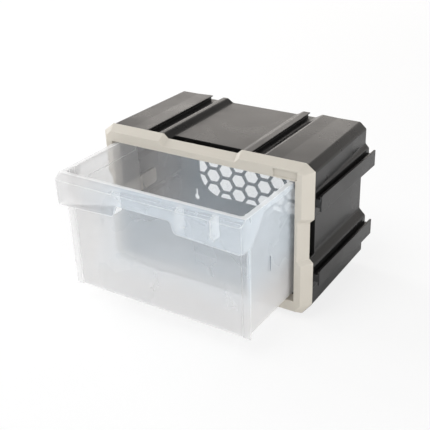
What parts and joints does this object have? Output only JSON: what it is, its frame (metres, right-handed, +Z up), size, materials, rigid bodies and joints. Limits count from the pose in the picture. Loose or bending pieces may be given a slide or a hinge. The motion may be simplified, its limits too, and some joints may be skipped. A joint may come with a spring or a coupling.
{
  "type": "stackable drawer box",
  "caption": "Interlocking drawer box: black housing with grooves and rails, beige front frame, vented rear panel and a translucent pull-out drawer with a hooded pull.",
  "frame": {"origin": "on the floor, under the centre of the box as shown with the drawer pulled out", "axes": "+Z up, +X to the viewer's right along the front, -Y the way the drawer pulls out"},
  "size_m": [0.293, 0.2664, 0.1943],
  "materials": {
    "black_plastic": "semi-gloss moulded",
    "dark_plastic": "semi-gloss moulded",
    "beige_plastic": "satin moulded",
    "clear_plastic": "frosted translucent"
  },
  "bodies": {
    "housing": {"housing_shell": "black_plastic", "rear_panel": "dark_plastic", "front_frame": "beige_plastic"},
    "drawer": {"drawer": "clear_plastic"}
  },
  "joints": [
    {"name": "drawer_slide", "type": "slide", "parent": "housing", "child": "drawer", "axis": [0, -1, 0], "range_m": [-0.1065, 0.0215]}
  ]
}
